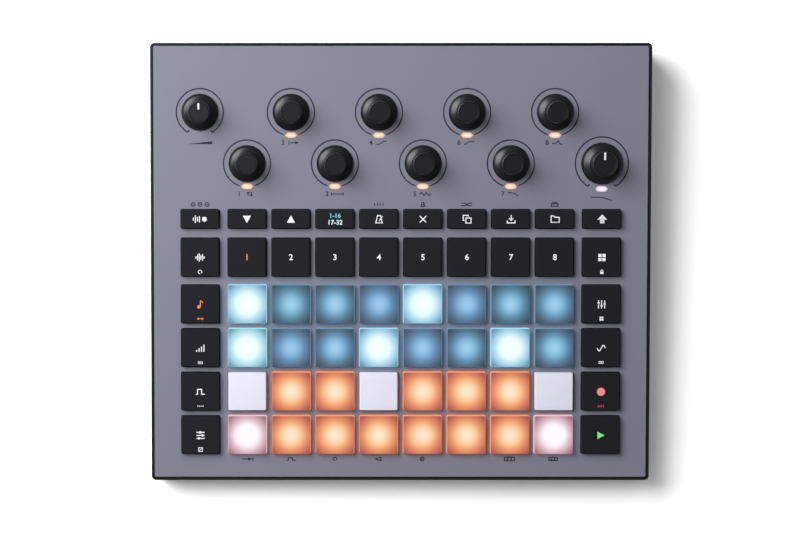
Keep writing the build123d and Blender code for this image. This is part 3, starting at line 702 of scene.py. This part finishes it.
pictures = {
    "wave": bars((-1, -0.6, -0.2, 0.2, 0.6, 1), (0.3, 0.7, 1, 0.5, 0.8, 0.3)),
    "take": bars((-1.6, -1.1, -0.6, -0.1), (0.35, 0.9, 0.55, 0.8)) + [("disc", (1.1, 0, 0.6))],
    "down": [("fill", [(-1, 0.85), (1, 0.85), (0, -0.95)])],
    "up": [("fill", [(-1, -0.85), (1, -0.85), (0, 0.95)])],
    "metronome": [
        ("line", closed([(-0.8, -0.9), (0.8, -0.9), (0.35, 0.9), (-0.35, 0.9)])),
        ("line", [(0, -0.5), (0.85, 0.75)]),
    ],
    "cross": [("line", [(-0.8, -0.8), (0.8, 0.8)]), ("line", [(-0.8, 0.8), (0.8, -0.8)])],
    "copies": [
        ("line", closed(box(-0.3, -0.95, 0.95, 0.3))),
        ("line", [(-0.6, -0.3), (-0.95, -0.3), (-0.95, 0.95), (0.3, 0.95), (0.3, 0.6)]),
    ],
    "tray": [
        ("line", [(0, 1), (0, -0.25)]), ("line", [(-0.5, 0.25), (0, -0.3), (0.5, 0.25)]),
        ("line", [(-0.95, -0.3), (-0.95, -0.9), (0.95, -0.9), (0.95, -0.3)]),
    ],
    "folder": [
        ("line", closed([(-1, -0.75), (1, -0.75), (1, 0.45), (-0.05, 0.45), (-0.35, 0.8), (-1, 0.8)])),
    ],
    "shiftArrow": [
        ("line", closed([(-0.42, -0.9), (0.42, -0.9), (0.42, 0), (0.95, 0), (0, 1), (-0.95, 0), (-0.42, 0)])),
    ],
    "tiles": [("fill", box(x, y, x + 0.8, y + 0.8)) for x in (-0.9, 0.1) for y in (-0.9, 0.1)],
    "lock": [
        ("fill", box(-0.75, -0.95, 0.75, 0.15)),
        ("line", [(-0.45, 0.15), *arcPoints(0, 0.45, 0.45, 180, 0), (0.45, 0.15)]),
    ],
    "note": [
        ("disc", (-0.3, -0.6, 0.42)), ("line", [(0.06, -0.6), (0.06, 0.95)]),
        ("line", [(0.06, 0.9), (0.7, 0.45)]),
    ],
    "widen": [
        ("line", [(-0.7, 0.55), (-1.3, 0), (-0.7, -0.55)]), ("line", [(0.7, 0.55), (1.3, 0), (0.7, -0.55)]),
        ("line", [(-1.2, 0), (1.2, 0)]),
    ],
    "rising": [
        ("line", [(x, -0.9), (x, h)]) for x, h in zip((-0.9, -0.3, 0.3, 0.9), (-0.45, 0.0, 0.45, 0.9))
    ],
    "level": [("line", [(x, -0.7), (x, 0.5)]) for x in (-0.9, -0.3, 0.3, 0.9)],
    "pulse": [("line", [(-1.1, -0.6), (-0.7, -0.6), (-0.7, 0.6), (0.3, 0.6), (0.3, -0.6), (1.1, -0.6)])],
    "steps": [("disc", (x, 0, 0.24)) for x in (-1.2, -0.4, 0.4, 1.2)],
    "sliders": [("line", [(-1, y), (1, y)]) for y in (-0.75, 0, 0.75)]
    + [("disc", (x, y, 0.3)) for x, y in ((-0.4, -0.75), (0.5, 0), (-0.1, 0.75))],
    "die": [("line", closed(box(-0.85, -0.85, 0.85, 0.85)))]
    + [("disc", (x, x, 0.2)) for x in (-0.42, 0, 0.42)],
    "faders": bars((-0.75, 0, 0.75), (1, 1, 1)) + [
        ("fill", box(x - 0.26, y - 0.17, x + 0.26, y + 0.17))
        for x, y in ((-0.75, 0.35), (0, -0.4), (0.75, 0.1))
    ],
    "sine": [("line", sineLine())],
    "links": [("line", arcPoints(-0.55, 0, 0.5, 0, 360)), ("line", arcPoints(0.55, 0, 0.5, 0, 360))],
    "dot": [("disc", (0, 0, 1))],
    "beats": bars((-1.2, -0.4, 0.4, 1.2), (0.6, 0.6, 0.6, 0.6)),
    "play": [("fill", [(-0.8, -0.95), (0.95, 0), (-0.8, 0.95)])],
    "wedge": [("fill", [(-1.4, -0.6), (1.4, -0.6), (1.4, 0.7)])],
    "pitch": [
        ("line", [(-0.4, -0.9), (-0.4, 0.8)]), ("line", [(-0.85, 0.35), (-0.4, 0.85), (0.05, 0.35)]),
        ("line", [(0.6, 0.9), (0.6, -0.8)]), ("line", [(0.15, -0.35), (0.6, -0.85), (1.05, -0.35)]),
    ],
    "begin": [
        ("line", [(-0.9, -0.8), (-0.9, 0.8)]), ("line", [(-0.6, 0), (0.9, 0)]),
        ("line", [(0.4, 0.45), (0.95, 0), (0.4, -0.45)]),
    ],
    "span": bars((-1.1, 1.1), (0.7, 0.7)) + [("line", [(-1, 0), (1, 0)])],
    "slope": [("line", [(-1.1, -0.7), (-0.5, -0.7), (0.5, 0.7), (1.1, 0.7)])],
    "jagged": [("line", [(-1.1, -0.2), (-0.7, 0.7), (-0.2, -0.7), (0.2, 0.7), (0.7, -0.7), (1.1, 0.2)])],
    "highCurve": [("line", [(-1.1, -0.8), (-0.7, -0.5), (-0.35, 0.1), (0, 0.45), (0.4, 0.55), (1.1, 0.55)])],
    "lowCurve": [("line", [(-1.1, 0.55), (-0.4, 0.55), (0, 0.45), (0.35, 0.1), (0.7, -0.5), (1.1, -0.8)])],
    "peak": [
        (
            "line",
            [(-1.1, -0.4), (-0.35, -0.3), (-0.05, 0.3), (0.15, 0.9), (0.35, 0.2), (0.6, -0.5), (1.1, -0.8)],
        ),
    ],
    "drums": [("line", arcPoints(x, 0, 0.85, 0, 360)) for x in (-3.2, 0, 3.2)]
    + [("disc", (x, 0, 0.3)) for x in (-3.2, 0, 3.2)],
    "shuffle": [
        ("line", [(-1.1, -0.55), (-0.3, -0.55), (0.3, 0.55), (1.1, 0.55)]),
        ("line", [(-1.1, 0.55), (-0.3, 0.55), (0.3, -0.55), (1.1, -0.55)]),
    ],
    "crate": [
        ("line", closed(box(-0.95, -0.8, 0.95, 0.35))),
        ("line", [(-0.95, 0.35), (-0.5, 0.85), (0.5, 0.85), (0.95, 0.35)]),
    ],
    "once": [
        ("line", [(-1, 0), (0.6, 0)]), ("line", [(0.1, 0.5), (0.65, 0), (0.1, -0.5)]),
        ("line", [(1, -0.7), (1, 0.7)]),
    ],
    "loopRing": [
        ("line", arcPoints(0, 0, 0.8, -40, 250)), ("fill", [(-0.7, -0.65), (-0.1, -1.15), (0.05, -0.45)]),
    ],
    "backwards": [("line", closed([(-0.9, 0), (0.7, -0.85), (0.7, 0.85)]))],
    "mute": [("line", arcPoints(0, 0, 0.85, 0, 360)), ("line", [(-0.6, -0.6), (0.6, 0.6)])],
    "piano": [("line", closed(box(-1.3, -0.8, 1.3, 0.8)))] + bars((-0.43, 0.43), (0.8, 0.8)),
    "slices": [
        ("line", closed(box(-1.2, -0.7, 1.2, 0.7))), ("line", [(-0.6, -1), (-0.2, 1)]),
        ("line", [(0.2, -1), (0.6, 1)]),
    ],
}


def drawPicture(bm, name, x, y, size, stroke, stretch=1):
    for kind, shape in pictures[name]:
        if kind == "disc":
            inkDisc(bm, x + shape[0] * size * stretch, y + shape[1] * size, shape[2] * size)
            continue
        points = [(x + px * size * stretch, y + py * size) for px, py in shape]
        if kind == "fill":
            inkShape(bm, points)
        else:
            inkStroke(bm, points, stroke)


# Rings round the knobs and small marks on the panel, each picture with the stretch that it takes
panelMarks = {
    "ring": 11.25, "filterRing": 12.7, "line": 0.62, "lampGap": 19, "openGap": 31, "tick": 1.3,
    "labelDrop": 14.6, "filterLabelDrop": 16.7, "figure": 3.2, "figureShift": -3.8, "pictureShift": 1.1,
    "picture": 1.05, "stroke": 0.46, "aboveKeys": 1.75, "belowPads": 1.9,
}
encoderPictures = {
    "encoder_knob_1": ("pitch", 1.5), "encoder_knob_2": ("begin", 2.2), "encoder_knob_3": ("span", 2.4),
    "encoder_knob_4": ("slope", 2.2), "encoder_knob_5": ("jagged", 2.4), "encoder_knob_6": ("highCurve", 2.2),
    "encoder_knob_7": ("lowCurve", 2.2), "encoder_knob_8": ("peak", 2.2),
}
sidePictures = {"volume_knob": ("wedge", 4.0), "filter_knob": ("lowCurve", 4.4)}
aboveKeyPictures = {
    "sampling_button": ("drums", 1.0), "tempo_button": ("beats", 1.6), "clear_button": ("metronome", 1.0),
    "duplicate_button": ("shuffle", 2.2), "projects_button": ("crate", 1.6),
}
belowPadPictures = {
    1: ("once", 2.4), 2: ("pulse", 2.0), 3: ("loopRing", 1.0), 4: ("backwards", 1.6),
    5: ("mute", 1.0), 7: ("piano", 1.8), 8: ("slices", 1.6),
}


def makePanelMarks():
    marks = panelMarks
    bm = bmesh.new()

    def mark(picture, x, y):
        name, stretch = picture
        drawPicture(bm, name, x, y, marks["picture"] * mm, marks["stroke"] * mm, stretch)

    for name, joint in knobJoints.items():
        site = panelSite(joint["pos_m"])
        large = name == "filter_knob"
        endless = name in encoderPictures
        radius = (marks["filterRing"] if large else marks["ring"]) * mm
        gap = marks["lampGap"] if endless else marks["openGap"]
        inkStroke(bm, arcPoints(site.x, site.y, radius, gap - 90, 270 - gap), marks["line"] * mm)
        low = site.y - (marks["filterLabelDrop"] if large else marks["labelDrop"]) * mm
        if endless:
            inkFigures(bm, name[-1], site.x + marks["figureShift"] * mm, low, marks["figure"] * mm)
            mark(encoderPictures[name], site.x + marks["pictureShift"] * mm, low)
            continue
        mark(sidePictures[name], site.x, low)
        for turn in (math.radians(gap - 90), math.radians(270 - gap)):
            reach = (radius, radius - marks["tick"] * mm)
            ends = [(site.x + r * math.cos(turn), site.y + r * math.sin(turn)) for r in reach]
            inkStroke(bm, ends, marks["line"] * mm)
    for name, picture in aboveKeyPictures.items():
        low, high = panelBox(name)
        mark(picture, (low.x + high.x) / 2, high.y + marks["aboveKeys"] * mm)
    front = panelBox("pad_row_4")[0].y
    for column, picture in belowPadPictures.items():
        mark(picture, topSite(f"track_button_{column}").x, front - marks["belowPads"] * mm)
    addPiece("panel_marks", meshFrom(bm), Vector((0, 0, 0)), "case", finishes["print"])


makePanelMarks()
print("panel marks made")

# Legends on the keys: a main picture or figure, and on some keys a small one by the near edge
legend = {
    "picture": 1.95, "stroke": 0.46, "small": 1.05, "smallStroke": 0.32, "smallDrop": 6.9,
    "figure": 4.0, "page": 3.1, "pageRise": 1.6, "glow": 0.12,
}
legendInks = {
    "white": (236, 236, 242), "orange": (240, 132, 88), "cyan": (120, 206, 220), "ice": (214, 244, 250),
    "pink": (246, 136, 150), "red": (214, 66, 84), "green": (126, 232, 128),
}
keyLegends = {
    "sampling_button": ("take", None, "white"), "down_button": ("down", None, "white"),
    "up_button": ("up", None, "white"), "tempo_button": ("metronome", None, "white"),
    "clear_button": ("cross", None, "white"), "duplicate_button": ("copies", None, "white"),
    "save_button": ("tray", None, "white"), "projects_button": ("folder", None, "white"),
    "shift_button": ("shiftArrow", None, "white"), "sample_button": ("wave", "loopRing", "white"),
    "patterns_button": ("tiles", "lock", "white"), "note_button": ("note", "widen", "orange"),
    "velocity_button": ("rising", "level", "white"), "gate_button": ("pulse", "steps", "white"),
    "settings_button": ("sliders", "die", "white"), "mixer_button": ("faders", "tiles", "white"),
    "effects_button": ("sine", "links", "white"), "record_button": ("dot", None, "pink"),
    "play_button": ("play", None, "green"),
}


def legendFinish(name, color):
    return grainFinish(
        "legend_" + name, tone(*color), grainValues(0.03, 2400.0, 0.5, 0.05, 0.04),
        {"Specular IOR Level": 0.3, "Emission Color": tone(*color), "Emission Strength": legend["glow"]},
    )


def drawSmall(bm, picture):
    drawPicture(bm, picture, 0, -legend["smallDrop"] * mm, legend["small"] * mm, legend["smallStroke"] * mm)


def makeLegends():
    finish = {name: legendFinish(name, color) for name, color in legendInks.items()}

    def addLegend(bm, key, ending, color):
        addPiece(key + ending, meshFrom(bm), topSite(key), key, finish[color])

    for name, (picture, small, color) in keyLegends.items():
        bm = bmesh.new()
        drawPicture(bm, picture, 0, 0, legend["picture"] * mm, legend["stroke"] * mm)
        if small:
            drawSmall(bm, small)
        addLegend(bm, name, "_legend", color)
    bm = bmesh.new()
    drawSmall(bm, "beats")
    addLegend(bm, "record_button", "_mark", "red")
    for number in range(1, trackCount + 1):
        bm = bmesh.new()
        inkFigures(bm, str(number), 0, 0, legend["figure"] * mm)
        addLegend(bm, f"track_button_{number}", "_legend", "orange" if number == 1 else "white")
    rise = legend["pageRise"] * mm
    for ending, text, level, color in (("_legend", "1-16", rise, "cyan"), ("_mark", "17-32", -rise, "ice")):
        bm = bmesh.new()
        inkFigures(bm, text, 0, level, legend["page"] * mm)
        addLegend(bm, "page_button", ending, color)


makeLegends()
print("legends made")

# Floor, light and camera
stage = {
    "floor": 4.0, "shade": 0.9, "seenShade": 1.5, "lift": 0.1, "fadeStart": 0.30, "fadeEnd": 0.90,
}
softboxes = {
    "overhead": {"place": (-0.34, 0.19, 1.0), "size": 0.50, "power": 2.5, "glossy": False},
    "shoulder": {"place": (-0.58, 0.36, 0.70), "size": 0.78, "power": 9.8, "glossy": True},
}
world = {"level": 0.20, "swing": 0.12, "bright": (-0.72, 0.69, 0.0)}
camera = {"place": (-0.03836, -0.00185), "above": 1.124, "lens": 105.4, "sensor": 36.0, "shift": 0.099}


# The floor looks white to the camera and in reflections, keeps the shadow, and fades to plain white far off
def makeStage():
    mesh = bpy.data.meshes.new("floor")
    half = stage["floor"] / 2
    corners = [(x, y, 0) for x, y in box(-half, -half, half, half)]
    mesh.from_pydata(corners, [], [(0, 1, 2, 3)])
    floor = bpy.data.objects.new("floor", mesh)
    scene.collection.objects.link(floor)
    material, tree, principled = newMaterial("paleFloor")
    tree.nodes.remove(principled)
    diffuse = tree.nodes.new("ShaderNodeBsdfDiffuse")
    glow = tree.nodes.new("ShaderNodeEmission")
    both = tree.nodes.new("ShaderNodeAddShader")
    for shader, socket in zip((diffuse, glow), both.inputs):
        tree.links.new(shader.outputs[0], socket)
    tree.links.new(both.outputs[0], tree.nodes["Material Output"].inputs["Surface"])
    path = tree.nodes.new("ShaderNodeLightPath")
    seen = path.outputs["Is Camera Ray"]
    for ray in ("Is Glossy Ray", "Is Transmission Ray"):
        seen = calc(tree, "MAXIMUM", seen, path.outputs[ray])
    plain, white = [(stage[name], stage[name], stage[name], 1) for name in ("shade", "seenShade")]
    tree.links.new(mixColor(tree, seen, plain, white), diffuse.inputs["Color"])
    place = tree.nodes.new("ShaderNodeTexCoord")
    reach = tree.nodes.new("ShaderNodeVectorMath")
    reach.operation = "LENGTH"
    tree.links.new(place.outputs["Object"], reach.inputs[0])
    away = ramp(tree, reach.outputs["Value"], stage["fadeStart"], stage["fadeEnd"])
    level = calc(tree, "ADD", away, stage["lift"])
    tree.links.new(calc(tree, "MULTIPLY", seen, level), glow.inputs["Strength"])
    mesh.materials.append(material)


# The softbox behind the left shoulder gives the sheen and most of the shadow, and the one overhead fills in
def makeLights():
    for name, softbox in softboxes.items():
        lamp = bpy.data.lights.new(name, "AREA")
        lamp.shape = "DISK"
        lamp.size = softbox["size"]
        lamp.energy = softbox["power"]
        holder = bpy.data.objects.new(name, lamp)
        lean = Vector(softbox["place"])
        holder.location = panelOrigin + lean
        holder.rotation_euler = lean.to_track_quat("Z", "Y").to_euler()
        holder.visible_glossy = softbox["glossy"]
        scene.collection.objects.link(holder)
    sky = bpy.data.worlds.new("studio")
    sky.use_nodes = True
    tree = sky.node_tree
    place = tree.nodes.new("ShaderNodeTexCoord")
    toward = tree.nodes.new("ShaderNodeVectorMath")
    toward.operation = "DOT_PRODUCT"
    toward.inputs[1].default_value = world["bright"]
    tree.links.new(place.outputs["Generated"], toward.inputs[0])
    swing = calc(tree, "MULTIPLY", toward.outputs["Value"], world["swing"])
    background = tree.nodes["Background"]
    tree.links.new(calc(tree, "ADD", swing, world["level"]), background.inputs["Strength"])
    background.inputs["Color"].default_value = (1, 1, 1, 1)
    scene.world = sky


def makeCamera():
    optics = bpy.data.cameras.new("camera")
    optics.lens = camera["lens"]
    optics.sensor_width = camera["sensor"]
    optics.shift_x = camera["shift"]
    holder = bpy.data.objects.new("camera", optics)
    holder.location = (*camera["place"], panelOrigin.z + camera["above"])
    scene.collection.objects.link(holder)
    scene.camera = holder


makeStage()
makeLights()
makeCamera()
print("stage, light and camera set")
